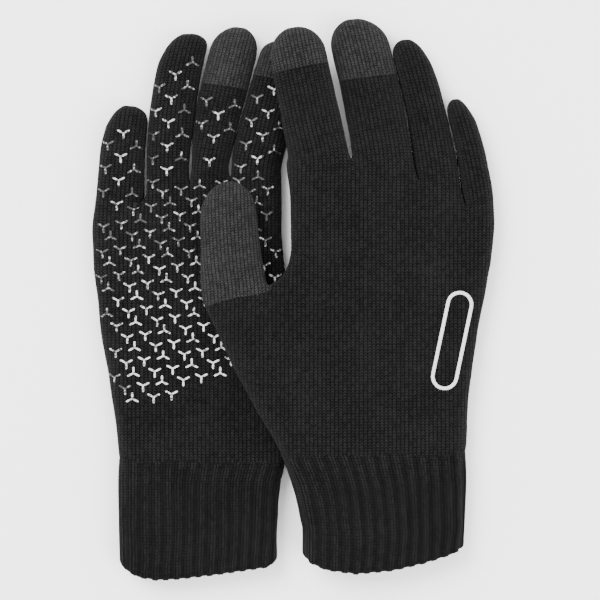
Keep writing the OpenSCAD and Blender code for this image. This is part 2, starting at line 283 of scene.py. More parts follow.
# %% Extruding a patch of faces to new places
THUMB_COLUMNS, PALM_COLUMNS = 3, 12
COLUMNS = THUMB_COLUMNS + PALM_COLUMNS
LEVELS = (-1, 0, 1)


def push(bm, patch, spots, label):
    """Extrudes a patch (corner key to vertex) and puts each new corner at its spot. Returns the new patch."""
    verts = set(patch.values())
    cap = [f for f in bm.faces if all(v in verts for v in f.verts)]
    keys = {v.co.to_tuple(5): key for key, v in patch.items()}
    made = bmesh.ops.extrude_face_region(bm, geom=cap)["geom"]
    fresh = {keys[v.co.to_tuple(5)]: v for v in made if isinstance(v, bmesh.types.BMVert)}
    bmesh.ops.delete(bm, geom=[f for f in cap if f.is_valid], context="FACES")
    for key, v in fresh.items():
        v.co = spots[key]
    new = set(fresh.values())
    for f in bm.faces:
        if any(v in new for v in f.verts):
            f.material_index = label
    return fresh


# %% The corners of one ring of the hand
EDGE_IN, EDGE_HIGH, EDGE_OUT = 0.3, 0.72, 0.14
RING_HIGH = 1.04


def hand_ring(side, points, half, squeeze=0.0):
    """Corners of a ring through points (x, y), one per column line, rounded at both ends."""
    ring = {}
    last = len(points) - 1
    for c, (x, y) in enumerate(points):
        sign = -1 if c == 0 else 1 if c == last else 0
        for level in LEVELS:
            h = half * RING_HIGH * level
            out = 0.0
            if sign:
                out = sign * half * (EDGE_OUT if level == 0 else -EDGE_IN)
                h *= EDGE_HIGH
            if level == 0:
                h = 0.0
            px = x + out - sign * squeeze
            ring[(c, level)] = Vector((px, y, h + rise(side, px, y)))
    return ring


def hand_columns(side, y_row, f=None):
    """The column lines at one row: by y below the thumb's crotch, by a share f to the fingers above it."""
    lay = LAYS[side]
    if f is None:
        left, line, right = (along(lay[key], y_row) for key in ("left", "thumb_line", "right"))
        thumb = [(mix(left, line, i / THUMB_COLUMNS), y_row) for i in range(THUMB_COLUMNS)]
        palm = [(mix(line, right, palm_share(side, i, 0)), y_row) for i in range(PALM_COLUMNS + 1)]
        return thumb + palm
    base = lay["finger_base"]
    y0 = [mix(CROTCH_Y, b[1], f) for b in base]
    left, right = along(lay["left"][-4:], y0[0]), along(lay["right"], y0[-1])
    return [(mix(left, right, palm_share(side, i, f)), y0[i]) for i in range(PALM_COLUMNS + 1)]


CROTCH_Y = 121.0


def palm_share(side, i, f):
    """Each palm column's share of the width: even at the wrist, and as the fingers are at their roots."""
    base = LAYS[side]["finger_base"]
    at_root = (base[i][0] - base[0][0]) / (base[-1][0] - base[0][0])
    return mix(i / PALM_COLUMNS, at_root, mix(0.25, 1.0, f) if f else 0.25)


# %% Build one glove's cage
PIECES = ("hand", "thumb", "index", "index_tip", "middle", "middle_tip", "ring", "pinky")
HAND_ROWS = (49.6, 52.5, 58, 66, 74, 82, 90, 98, 106)
ROOT_STEPS = (3.0, 7.0, 12.0)


def stall_stops(name):
    """Distances of a stall's rings: close at the root, where it folds, and at the round tip."""
    length = LENGTHS[name]
    seam = length - TIPS[name] if name in TIPS else 0.62 * length
    body = [d for d in ROOT_STEPS] + [0.42 * length if seam > 0.55 * length else 0.34 * length]
    return body + [seam, max(seam + 5, 0.78 * length), length - 10, length - 5.5, length - 2.3, length - 0.4]


def grow_stall(bm, side, name, patch, columns):
    """Extrudes one stall from the corners on its four column lines."""
    keys = {(c, level): (columns.index(c), level) for c in columns for level in LEVELS}
    patch = {key: patch[key] for key in keys}
    seam = LENGTHS[name] - TIPS[name] if name in TIPS else None
    for d in stall_stops(name):
        label = PIECES.index(name + "_tip" if seam is not None and d > seam + 0.1 else name)
        spots = {key: stall_spot(side, name, d, *keys[key]) for key in keys}
        patch = push(bm, patch, spots, label)


def glove_cage(side):
    bm = bmesh.new()
    bmesh.ops.create_grid(bm, x_segments=COLUMNS, y_segments=2, size=1.0)
    start = hand_ring(side, hand_columns(side, CUFF_TOP - 2.5), HAND_HALF * 0.9, squeeze=1.4)
    xs = sorted({round(v.co.x, 4) for v in bm.verts})
    ys = sorted({round(v.co.y, 4) for v in bm.verts})
    patch = {(xs.index(round(v.co.x, 4)), LEVELS[ys.index(round(v.co.y, 4))]): v for v in bm.verts}
    for key, v in patch.items():
        v.co = start[key]
    for y in HAND_ROWS:
        swell = 1.06 if y < 60 else 1.0
        patch = push(bm, patch, hand_ring(side, hand_columns(side, y), HAND_HALF * swell), 0)
    lay = LAYS[side]
    palm_row = hand_columns(side, CROTCH_Y)[THUMB_COLUMNS:]
    palm_row[0] = lay["thumb_base"][-1]
    patch = push(bm, patch, hand_ring(side, lay["thumb_base"][:-1] + palm_row, HAND_HALF), 0)
    grow_stall(bm, side, "thumb", patch, list(range(THUMB_COLUMNS + 1)))
    palm = {key: v for key, v in patch.items() if key[0] >= THUMB_COLUMNS}
    for f, valley in ((0.14, 0.0), (0.4, 0.02), (0.7, 0.06), (0.88, 0.12), (1.0, 0.24)):
        columns = hand_columns(side, 0, f)
        ring = hand_ring(side, columns, HAND_HALF)
        spots = {(c + THUMB_COLUMNS, level): co for (c, level), co in ring.items()}
        palm = push(bm, palm, finger_valleys(side, spots, valley), 0)
    for i, name in enumerate(STALLS[1:]):
        first = THUMB_COLUMNS + 3 * i
        grow_stall(bm, side, name, palm, list(range(first, first + 4)))
    bmesh.ops.recalc_face_normals(bm, faces=bm.faces)
    mouth = [f for f in bm.faces if all(v.co.y < CUFF_TOP - 2 for v in f.verts)]
    bmesh.ops.delete(bm, geom=mouth, context="FACES")
    return bm


# The column lines between two fingers, and how strongly each is sunk. The little finger's side is deeper.
BETWEEN = {6: 1, 9: 2, 12: 2}


def finger_valleys(side, spots, valley):
    """Sinks the lines between the fingers, on the top and under the hand."""
    out = {}
    for (c, level), co in spots.items():
        middle = rise(side, co.x, co.y)
        z = middle + (co.z - middle) * (1 - valley) ** BETWEEN.get(c, 0)
        out[(c, level)] = Vector((co.x, co.y, z))
    return out


# %% Round the cage and give it the small unevenness of worn knitting
ROUNDING = 2
LUMP_SIZE, LUMP_HIGH = 16.0, 0.5
PUCKER_SIZE, PUCKER_HIGH = 5.0, 0.12


def rounded(bm, name):
    """The cage as a subdivided mesh, still in the glove's own frame."""
    mesh = bpy.data.meshes.new(name)
    bm.to_mesh(mesh)
    bm.free()
    ob = bpy.data.objects.new(name, mesh)
    bpy.context.collection.objects.link(ob)
    mod = ob.modifiers.new("Round", "SUBSURF")
    mod.levels = mod.render_levels = ROUNDING
    smooth_mesh = bpy.data.meshes.new_from_object(ob.evaluated_get(bpy.context.evaluated_depsgraph_get()))
    bpy.data.objects.remove(ob)
    return smooth_mesh


def lumps(mesh, seed):
    shift = Vector((seed * 37.0, 11.0, 5.0))
    for v in mesh.vertices:
        swell = LUMP_HIGH * noise.noise(v.co / LUMP_SIZE + shift)
        swell += PUCKER_HIGH * noise.noise(v.co / PUCKER_SIZE - shift)
        v.co = v.co + v.normal * swell


glove_meshes = {}
for seed, side in enumerate(LAYS):
    glove_meshes[side] = rounded(glove_cage(side), side + "_glove")
    lumps(glove_meshes[side], seed)
    print(side, "glove:", len(glove_meshes[side].polygons), "faces")

# %% [markdown]
# ## The knit's own coordinates
# Stockinette is columns of small V stitches, called wales, that run up the hand and on into each
# finger. A pattern can only follow them if the mesh carries coordinates that do. So each corner gets
# a UV of millimetres: U counts across the wales and V along them. On the hand they are X and Y, on a
# finger they are taken from its middle line, and near the root one passes smoothly into the other.
# Round the sides the true distance over the curve is used, so that the wales keep their width.

# %% Knit coordinates for one point
ROOT_PASSAGE = 26.0


def stall_coordinates(side, name, p):
    """Distance along a stall from its root, and the signed distance from its middle line."""
    x, y, lean, bend, _w0, _w1, _drop = LAYS[side]["stalls"][name]
    lean = math.radians(lean)
    dx, dy = p.x - x, p.y - y
    d = dx * math.sin(lean) + dy * math.cos(lean)
    t = d / LENGTHS[name]
    return d, dx * math.cos(lean) - dy * math.sin(lean) - bend * t * max(t, 0)


def side_extra(normal, half):
    """How much longer the way over a round side is than straight across."""
    angle = math.atan2(abs(normal.x), abs(normal.z))
    return math.copysign(half * (angle - math.sin(angle)), normal.x)


def knit_place(side, name, p, normal):
    extra = side_extra(normal, STALL_HALF)
    if name == "hand":
        name = nearest_stall(side, p)
        if name is None:
            return p.x + extra, p.y
    x, y = LAYS[side]["stalls"][name][:2]
    d, aside = stall_coordinates(side, name, p)
    share = smooth(0.5 + d / ROOT_PASSAGE)
    return mix(p.x, x + aside, share) + extra, mix(p.y, y + d, share)


def nearest_stall(side, p):
    """The stall whose root a point of the hand is close to, or None."""
    best = None
    for name in STALLS:
        d, aside = stall_coordinates(side, name, p)
        width = LAYS[side]["stalls"][name][4]
        if d > -ROOT_PASSAGE / 2 and abs(aside) < width / 2 + 1.5 and (best is None or abs(aside) < best[0]):
            best = (abs(aside), name)
    return best[1] if best else None


# %% Cut a glove into its pieces, each with its knit coordinates
WALL = 1.3
pieces = {}


def cut_piece(side, label, name):
    bm = bmesh.new()
    bm.from_mesh(glove_meshes[side])
    bmesh.ops.delete(bm, geom=[f for f in bm.faces if f.material_index != label], context="FACES")
    bm.verts.ensure_lookup_table()
    uv = bm.loops.layers.uv.new("Knit")
    root = name.split("_")[0]
    for v in bm.verts:
        place = knit_place(side, root, v.co, v.normal)
        for loop in v.link_loops:
            loop[uv].uv = place
    for v in bm.verts:
        v.co = to_world(side, v.co)
    for f in bm.faces:
        f.material_index = 0
        f.smooth = True
    return finish_piece(bm, f"{side}_{name}_knit")


def sharpen_rims(mesh):
    """Keeps the cut edges crisp, so that two neighbouring pieces shade as one surface."""
    rims = {i for f in mesh.polygons if f.material_index == 1 for i in f.edge_keys}
    for e in mesh.edges:
        if e.key in rims:
            e.use_edge_sharp = True
    for f in mesh.polygons:
        f.material_index = 0


FLOOR_SOFT = 0.0006


def rest_on_floor(mesh):
    """Flattens what would dip below the floor, as wool does under its own weight."""
    for v in mesh.vertices:
        if v.co.z < FLOOR_SOFT:
            v.co.z = FLOOR_SOFT * (0.3 + 0.7 * math.exp((v.co.z - FLOOR_SOFT) / (0.7 * FLOOR_SOFT)))


def finish_piece(bm, name, wall=WALL):
    mesh = bpy.data.meshes.new(name)
    bm.to_mesh(mesh)
    bm.free()
    ob = bpy.data.objects.new(name, mesh)
    bpy.context.collection.objects.link(ob)
    if wall:
        mod = ob.modifiers.new("Wall", "SOLIDIFY")
        mod.thickness, mod.offset = wall * MM, -1
        mod.use_rim, mod.material_offset_rim = True, 1
        for slot_name in ("face", "rim"):
            mesh.materials.append(bpy.data.materials.get(slot_name) or bpy.data.materials.new(slot_name))
        thick = bpy.data.meshes.new_from_object(ob.evaluated_get(bpy.context.evaluated_depsgraph_get()))
        thick.name = name
        ob.modifiers.clear()
        ob.data = thick
        sharpen_rims(thick)
    rest_on_floor(ob.data)
    pieces[name] = ob
    return ob


for side in LAYS:
    for label, name in enumerate(PIECES):
        ob = cut_piece(side, label, name)
        print(ob.name, len(ob.data.polygons), "faces")

# %% [markdown]
# ## Ribbed cuffs
# A cuff is knitted in rib: two wales that stand proud, then two that sink, which is what makes it
# stretch. At this scale a bump map alone would leave its outline smooth, so the ribs are real shape:
# a circle with sixteen corners to a rib is bent to the flat oval of a wrist and extruded up the arm.
# The mouth is a little scalloped, because each rib ends in a loop of its own.

# %% The flat oval of a wrist, and the ribs on it
RIBS = 31
PER_RIB = 16
RIB_DEEP = 0.7
RIB_WALES, RIB_WALE = 4, 1.25
CUFF_ROWS = (3.0, 6, 10, 15, 20, 25, 30, 35, 40, 44, 47, 49, 50.4)
MOUTHS = {
    "lower": [(-35, 5.5), (-31, 2.2), (-22, 0.9), (-8, -1.2), (8, -3.0), (18, -3.6), (26, -2.2), (31, 0.6),
              (35, 4.5)],
    "upper": [(-36, 5.5), (-32, 1.0), (-25, -2.2), (-12, -4.0), (4, -2.6), (18, 0.6), (30, 4.4), (36, 8.0)],
}


def oval(left, right, half, share):
    """A place on the flat oval of a wrist, its outward direction, and how far round it lies."""
    flat = (right - left) - 2 * half
    lap = 2 * flat + 2 * math.pi * half
    s = (share % 1.0) * lap
    if s < flat:
        return Vector((left + half + s, 0, half)), Vector((0, 0, 1)), s
    s -= flat
    if s < math.pi * half:
        a = math.pi / 2 - s / half
        out = Vector((math.cos(a), 0, math.sin(a)))
        return Vector((right - half, 0, 0)) + out * half, out, flat + s
    s -= math.pi * half
    if s < flat:
        return Vector((right - half - s, 0, -half)), Vector((0, 0, -1)), flat + math.pi * half + s
    s -= flat
    a = -math.pi / 2 - s / half
    out = Vector((math.cos(a), 0, math.sin(a)))
    return Vector((left + half, 0, 0)) + out * half, out, 2 * flat + math.pi * half + s


def cuff_half(y):
    """Half the cuff's thickness: a little thinner at the mouth, and the hand's own at its top."""
    return mix(mix(5.6, CUFF_HALF - RIB_DEEP, smooth(y / 16)), HAND_HALF, smooth((y - 38) / 11))


def rib_crest(phase):
    """Height across one rib, from 0 to 1: two proud wales side by side, then a hollow."""
    proud = smooth((0.29 - abs(phase - 0.5)) / 0.09)
    return proud * (1 - 0.3 * math.exp(-((phase - 0.5) / 0.045) ** 2))


def cuff_spot(side, y, i, inward=0.0):
    """Corner i of the cuff's ring at y, moved inward for the inside of the hem."""
    lay = LAYS[side]
    left, right = along(lay["left"], y), along(lay["right"], y)
    waver = 0.0035 * noise.noise(Vector((i / 45, y / 16, 2.0))) * smooth(y / 8)
    p, out, s = oval(left, right, cuff_half(y), i / (RIBS * PER_RIB) + waver)
    phase = (i % PER_RIB) / PER_RIB
    crest = rib_crest(phase)
    fade = (1 - smooth((y - 41) / 9)) * (0.8 + 0.55 * noise.noise(Vector((s / 13, y / 20, 9))))
    p = p + out * (RIB_DEEP * crest * fade - inward)
    mouth = along(MOUTHS[side], p.x) - 0.4 * crest
    p.y = mix(mouth + y, y, smooth(y / 26))
    p.z += rise(side, p.x, p.y)
    drift = 0.35 * noise.noise(Vector((p.x / 14, p.y / 14, p.z / 14 + 3)))
    return p + out * drift * smooth(y / 12) * fade


def push_loop(bm, loop, spots):
    """Extrudes a closed loop of corners to new spots. Returns the new loop."""
    edges = [bm.edges.get((loop[i - 1], loop[i])) for i in range(len(loop))]
    index = {v.co.to_tuple(5): i for i, v in enumerate(loop)}
    made = bmesh.ops.extrude_edge_only(bm, edges=edges)["geom"]
    fresh = {index[v.co.to_tuple(5)]: v for v in made if isinstance(v, bmesh.types.BMVert)}
    for i, v in fresh.items():
        v.co = spots[i]
    return [fresh[i] for i in range(len(loop))]


def first_loop(bm, spots):
    """A closed loop of corners at these spots, from a circle."""
    bmesh.ops.create_circle(bm, segments=len(spots), radius=10.0)
    loop = sorted(bm.verts, key=lambda v: math.atan2(v.co.y, v.co.x))
    for v, spot in zip(loop, spots):
        v.co = spot
    return loop


# %% Knit coordinates round a cuff
def ring_uv(bm, count, rows_v, lap):
    """UVs in millimetres for rings pushed from a circle, ring after ring."""
    uv = bm.loops.layers.uv.new("Knit")
    bm.verts.index_update()
    for f in bm.faces:
        columns = [loop.vert.index % count for loop in f.loops]
        around = max(columns) - min(columns) > count / 2
        for loop, column in zip(f.loops, columns):
            if around and column < count / 2:
                column += count
            loop[uv].uv = (column / count * lap, rows_v[loop.vert.index // count])


def ribbed_tube(side, name, rows, wall):
    """A tube through rows of (y, inward), as one piece."""
    count = RIBS * PER_RIB
    bm = bmesh.new()
    loop = first_loop(bm, [cuff_spot(side, rows[0][0], i, rows[0][1]) for i in range(count)])
    for y, inward in rows[1:]:
        loop = push_loop(bm, loop, [cuff_spot(side, y, i, inward) for i in range(count)])
    ring_uv(bm, count, [r[0] - r[1] for r in rows], RIBS * RIB_WALES * RIB_WALE)
    for v in bm.verts:
        v.co = to_world(side, v.co)
    bmesh.ops.recalc_face_normals(bm, faces=bm.faces)
    if bm.calc_volume(signed=True) < 0:
        bmesh.ops.reverse_faces(bm, faces=bm.faces)
    for f in bm.faces:
        f.smooth = True
    return finish_piece(bm, name, wall)


# %% The cuffs, and the rolled hem at each mouth
HEM_ROWS = [(3.0, 0.0), (1.6, 0.0), (0.7, 0.08), (0.15, 0.35), (0.0, 0.8), (0.15, 1.25), (0.7, 1.5),
            (3.0, 1.6)]
for side in LAYS:
    cuff = ribbed_tube(side, side + "_cuff_rib", [(y, 0.6 if y > 50 else 0.0) for y in CUFF_ROWS], 1.4)
    hem = ribbed_tube(side, side + "_cuff_hem_roll", HEM_ROWS, 0)
    print(side, "cuff:", len(cuff.data.polygons), "faces, hem:", len(hem.data.polygons))

# %% [markdown]
# ## Silicone grip prints
# The palm is printed with small three-armed stars of pale silicone. One star is a hexagon whose every
# other side is drawn out into an arm. It is laid on the knit corner by corner, so that it bends with
# the finger under it, and it is only as thick as a print.

# %% One star, laid on a surface
ARM, STROKE, PRINT_HIGH = 2.7, 0.84, 0.3
surfaces = {}
for side, mesh in glove_meshes.items():
    bm = bmesh.new()
    bm.from_mesh(mesh)
    surfaces[side] = BVHTree.FromBMesh(bm)
    surfaces[side + "_labels"] = [f.material_index for f in bm.faces]
    bm.free()


def on_surface(side, x, y, face):
    """The place on the glove under (x, y), seen from its back (+1) or palm (-1), with the face's label."""
    hit, normal, index, _far = surfaces[side].ray_cast(Vector((x, y, 60.0 * face)), Vector((0, 0, -face)))
    if hit is None:
        return None
    return hit, normal, surfaces[side + "_labels"][index]


def star_mesh(name, size, spin):
    """A three-armed star round the origin, with its sides, as a mesh to lay down again and again."""
    bm = bmesh.new()
    bmesh.ops.create_circle(bm, segments=6, radius=STROKE * 0.62, cap_ends=True)
    bmesh.ops.rotate(bm, verts=bm.verts, cent=(0, 0, 0), matrix=Matrix.Rotation(spin, 3, "Z"))
    for edge in list(bm.edges)[::2]:
        tip = [edge]
        middle = (edge.verts[0].co + edge.verts[1].co) / 2
        out = middle.normalized()
        across = (edge.verts[1].co - edge.verts[0].co).normalized()
        for far, half in ((0.3 * size, 0.42), (0.62 * size, 0.5), (0.9 * size, 0.42), (size, 0.2)):
            geom = bmesh.ops.extrude_edge_only(bm, edges=tip)["geom"]
            tip = [e for e in geom if isinstance(e, bmesh.types.BMEdge)]
            for v in (v for v in geom if isinstance(v, bmesh.types.BMVert)):
                sign = 1 if (v.co - middle).dot(across) > 0 else -1
                v.co = out * far + across * half * STROKE * sign
    bmesh.ops.scale(bm, verts=bm.verts, vec=(1.15, 1.0, 1.0))
    made = bmesh.ops.extrude_face_region(bm, geom=list(bm.faces))["geom"]
    bmesh.ops.translate(bm, verts=[v for v in made if isinstance(v, bmesh.types.BMVert)], vec=(0, 0, 1))
    mesh = bpy.data.meshes.new(name)
    bm.to_mesh(mesh)
    bm.free()
    return mesh


# %% The pattern: a slanting lattice of one hanging star and two standing ones
LATTICE_A, LATTICE_B = Vector((-12.5, -3.7)), Vector((-0.5, 11.2))
LATTICE_0 = Vector((2.5, 91.0))
STANDING = (Vector((3.15, 4.4)), Vector((8.3, -1.8)))
PRINT_LOW = ((-12.0, 84.5), (32.0, 72.0))
GUSSET_TOP = 113
STARS = [star_mesh("Hanging star", ARM, math.radians(90)),
         star_mesh("Standing star", ARM, math.radians(270))]
print("a star has", len(STARS[0].polygons), "faces")


def palm_sites(side):
    """Places of the palm's stars: (place, star, how fully and how brightly it is printed, from 0 to 1)."""
    (x0, y0), (x1, y1) = PRINT_LOW
    for i in range(-9, 10):
        for j in range(-6, 16):
            corner = LATTICE_0 + LATTICE_A * i + LATTICE_B * j
            for p, mesh in [(corner, STARS[0])] + [(corner + off, STARS[1]) for off in STANDING]:
                if p.y < mix(y0, y1, (p.x - x0) / (x1 - x0)):
                    continue
                if p.y < GUSSET_TOP and p.x < along(LAYS[side]["left"], p.y) + 4:
                    continue
                # Fuller towards the heel, where the print is less worn, and brighter there as a painted
                # reflection on the glossy silicone.
                heel_gloss_and_wear = 0.95 - 0.62 * smooth((p.y - 90) / 75)
                rim = smooth((along(LAYS[side]["right"], p.y) - p.x) / 13)
                patchy = 0.3 * noise.noise(Vector((p.x / 7, p.y / 7, 4.0)))
                yield p, mesh, (heel_gloss_and_wear + patchy) * mix(0.3, 1, rim)


# %% Down each finger: one clear column of stars, and fainter ones at its sides
FINGER_PITCH, FINGER_ASIDE = 10.4, 6.2
STAR_APART = 5.2


def finger_sites(side):
    for name in STALLS[1:]:
        end = LENGTHS[name] - TIPS.get(name, 9.0) - 2
        lean = math.radians(LAYS[side]["stalls"][name][2])
        for k in range(-1, int(end / FINGER_PITCH) + 1):
            for aside, half, cover in ((0, 0, 0.62), (-1, 0.5, 0.3), (1, 0.5, 0.3)):
                d = (k + 0.4 + half) * FINGER_PITCH
                if d < end:
                    c = stall_centre(side, name, d)
                    off = aside * FINGER_ASIDE
                    p = Vector((c.x + off * math.cos(lean), c.y - off * math.sin(lean)))
                    patchy = 0.25 * noise.noise(Vector((p.x / 5, p.y / 5, 8.0)))
                    yield p, STARS[0 if aside < 0 else 1], cover + patchy


def print_name(label):
    return "palm_print" if label == 0 else PIECES[label].split("_")[0] + "_print"


def print_stars(side):
    """Lays every star of one glove, sorted into the palm's and each finger's own piece."""
    made = {}
    printed = []
    on_palm = [(*site, True) for site in palm_sites(side)]
    for p, mesh, cover, palm in on_palm + [(*site, False) for site in finger_sites(side)]:
        found = on_surface(side, p.x, p.y, -1)
        if found is None or found[1].z > -0.5 or PIECES[found[2]].endswith("_tip"):
            continue
        name = print_name(found[2])
        if palm != (name == "palm_print"):
            continue
        if name == "thumb_print" or (side == "upper" and p.x < -38 and p.y < 118):
            continue
        hits = [on_surface(side, p.x + v.co.x, p.y + v.co.y, -1) for v in mesh.vertices]
        if any(hit is None or hit[1].z > -0.15 for hit in hits):
            continue
        if any((p - other).length < STAR_APART for other in printed):
            continue
        printed.append(p)
        bm = made.setdefault(name, bmesh.new())
        layer = bm.verts.layers.float.get("Cover") or bm.verts.layers.float.new("Cover")
        before = len(bm.verts)
        bm.from_mesh(mesh)
        bm.verts.ensure_lookup_table()
        for v, (spot, normal, _label) in zip(bm.verts[before:], hits):
            v[layer] = cover
            v.co = spot + normal * (PRINT_HIGH if v.co.z > 0.5 else -0.25)
    return made


for side in LAYS:
    for name, bm in sorted(print_stars(side).items()):
        for v in bm.verts:
            v.co = to_world(side, v.co)
        bmesh.ops.recalc_face_normals(bm, faces=bm.faces)
        ob = finish_piece(bm, f"{side}_{name}", 0)
        print(ob.name, len(ob.data.polygons), "faces")

# %% [markdown]
# ## The stitched emblem
# A slim capsule outline is embroidered on the back of the hand in satin stitch: threads laid side by
# side across a narrow line. The line is a loop extruded round a low arch, and every other corner of
# the loop is lifted, which gives each thread its own little ridge.

# %% The emblem's loop
EMBLEM_LONG, EMBLEM_WIDE, EMBLEM_LINE, EMBLEM_LEAN = 44.0, 12.0, 1.5, 12.0
EMBLEM_PLACE = Vector((30.0, 98.0))
STITCHES = 190
ARCH = [(-0.5, -0.3), (-0.5, 0.1), (-0.3, 0.38), (0.0, 0.5), (0.3, 0.38), (0.5, 0.1), (0.5, -0.3)]


def capsule(share, wide):
    """A place on a capsule outline of this width."""
    r = wide / 2
    straight = EMBLEM_LONG - EMBLEM_WIDE
    lap = 2 * straight + math.pi * EMBLEM_WIDE
    s = (share % 1.0) * lap
    if s < straight:
        return Vector((r, -straight / 2 + s))
    s -= straight
    if s < math.pi * EMBLEM_WIDE / 2:
        a = s / (EMBLEM_WIDE / 2)
        return Vector((r * math.cos(a), straight / 2 + r * math.sin(a)))
    s -= math.pi * EMBLEM_WIDE / 2
    if s < straight:
        return Vector((-r, straight / 2 - s))
    a = math.pi + (s - straight) / (EMBLEM_WIDE / 2)
    return Vector((r * math.cos(a), -straight / 2 + r * math.sin(a)))


def emblem_spot(side, i, across, high):
    thread = 1.0 if i % 2 else 0.72
    wobble = 0.12 * noise.noise(Vector((i * 0.37, across, 1.5)))
    p = capsule(i / (2 * STITCHES), EMBLEM_WIDE - EMBLEM_LINE + 2 * across * EMBLEM_LINE + wobble)
    lean = math.radians(EMBLEM_LEAN)
    x = EMBLEM_PLACE.x + p.x * math.cos(lean) + p.y * math.sin(lean)
    y = EMBLEM_PLACE.y - p.x * math.sin(lean) + p.y * math.cos(lean)
    hit, normal, _label = on_surface(side, x, y, 1)
    return hit + normal * (high * 1.3 * thread if high > 0 else high)


for side in LAYS:
    bm = bmesh.new()
    count = 2 * STITCHES
    loop = first_loop(bm, [emblem_spot(side, i, *ARCH[0]) for i in range(count)])
    for across, high in ARCH[1:] + ARCH[:1]:
        loop = push_loop(bm, loop, [emblem_spot(side, i, across, high) for i in range(count)])
    ring_uv(bm, count, [a for a, _h in ARCH] + [0.5], 2 * STITCHES * 0.28)
    bmesh.ops.remove_doubles(bm, verts=bm.verts, dist=0.001)
    for v in bm.verts:
        v.co = to_world(side, v.co)
    bmesh.ops.recalc_face_normals(bm, faces=bm.faces)
    ob = finish_piece(bm, side + "_emblem_stitch", 0)
    print(ob.name, len(ob.data.polygons), "faces")

# %% [markdown]
# ## Yarn
# All the knit materials share one group that draws stockinette: two slanted legs to a wale, which
# meet in a V at every course. It gives a height for the bump, and a mask of painted light on top of
# the stitches and painted shade between them. A second group gives the fuzz and the uneven dye of real yarn.

# %% Small helpers for node trees
def node(tree, kind, place, **settings):
    n = tree.nodes.new(kind)
    n.location = place
    for key, value in settings.items():
        setattr(n, key, value)
    return n


def maths(tree, operation, place, *values):
    """A Math node. A value may be a number or another node's output."""
    n = node(tree, "ShaderNodeMath", place, operation=operation)
    for socket, value in zip(n.inputs, values):
        if isinstance(value, (int, float)):
            socket.default_value = value
        else:
            tree.links.new(value, socket)
    return n.outputs[0]


def group(name, inputs, outputs):
    tree = bpy.data.node_groups.new(name, "ShaderNodeTree")
    for label, kind, value in inputs:
        socket = tree.interface.new_socket(label, in_out="INPUT", socket_type=kind)
        if value is not None:
            socket.default_value = value
    for label, kind in outputs:
        tree.interface.new_socket(label, in_out="OUTPUT", socket_type=kind)
    return tree, node(tree, "NodeGroupInput", (-1400, 0)), node(tree, "NodeGroupOutput", (900, 0))


# %% The stockinette group
FLOAT, VECTOR = "NodeSocketFloat", "NodeSocketVector"
stitches, s_in, s_out = group(
    "Stockinette",
    [("Vector", VECTOR, None), ("Wale", FLOAT, 2.0), ("Course", FLOAT, 1.25), ("Waver", FLOAT, 0.2)],
    [("Height", FLOAT), ("Crest", FLOAT)])
waver = node(stitches, "ShaderNodeTexNoise", (-1200, -300), noise_dimensions="2D")
waver.inputs["Scale"].default_value = 0.35
waver.inputs["Detail"].default_value = 1.0
stitches.links.new(s_in.outputs["Vector"], waver.inputs["Vector"])
apart = node(stitches, "ShaderNodeSeparateXYZ", (-1200, 0))
stitches.links.new(s_in.outputs["Vector"], apart.inputs[0])
shift = maths(stitches, "SUBTRACT", (-1100, -300), waver.outputs[0], 0.5)
shift = maths(stitches, "MULTIPLY", (-1000, -300), shift, s_in.outputs["Waver"])
u = maths(stitches, "ADD", (-1000, 100), apart.outputs[0], shift)
u = maths(stitches, "DIVIDE", (-900, 100), u, s_in.outputs["Wale"])
v_course = maths(stitches, "ADD", (-1000, -100), apart.outputs[1], shift)
v_course = maths(stitches, "DIVIDE", (-900, -100), v_course, s_in.outputs["Course"])
across = maths(stitches, "ABSOLUTE", (-600, 100), maths(
    stitches, "SUBTRACT", (-700, 100), maths(stitches, "FRACT", (-800, 100), u), 0.5))
leg = maths(stitches, "COSINE", (-400, 200), maths(stitches, "MULTIPLY", (-500, 200), across, math.pi))
leg = maths(stitches, "POWER", (-300, 200), maths(stitches, "MAXIMUM", (-350, 200), leg, 0.0), 0.7)
split = maths(stitches, "MULTIPLY", (-500, 350), across, 7.0)
split = maths(stitches, "MULTIPLY_ADD", (-300, 350), maths(
    stitches, "MINIMUM", (-400, 350), split, 1.0), 0.3, 0.7)
leg = maths(stitches, "MULTIPLY", (-200, 250), leg, split)
slant = maths(stitches, "MULTIPLY", (-500, -100), across, 1.5)
slant = maths(stitches, "ADD", (-400, -100), v_course, slant)
beat = maths(stitches, "MULTIPLY", (-300, -100), slant, 2 * math.pi)
beat = maths(stitches, "COSINE", (-200, -100), beat)
beat = maths(stitches, "MULTIPLY_ADD", (-100, -100), beat, 0.32, 0.68)
height = maths(stitches, "MULTIPLY", (100, 0), leg, beat)
stitches.links.new(height, s_out.inputs["Height"])
cell = node(stitches, "ShaderNodeCombineXYZ", (-700, -500))
stitches.links.new(maths(stitches, "FLOOR", (-800, -450), u), cell.inputs[0])
stitches.links.new(maths(stitches, "FLOOR", (-800, -550), slant), cell.inputs[1])
own = node(stitches, "ShaderNodeTexWhiteNoise", (-500, -500), noise_dimensions="2D")
stitches.links.new(cell.outputs[0], own.inputs["Vector"])
tint = maths(stitches, "MULTIPLY_ADD", (-300, -500), own.outputs["Value"], 0.75, 0.62)
# Crest: painted light on the stitches' tops and painted shade between them, times each stitch's own random
# tone.
crest = maths(stitches, "MULTIPLY", (300, -100), maths(stitches, "POWER", (200, -100), height, 1.6), tint)
stitches.links.new(crest, s_out.inputs["Crest"])
print("stockinette group:", len(stitches.nodes), "nodes")

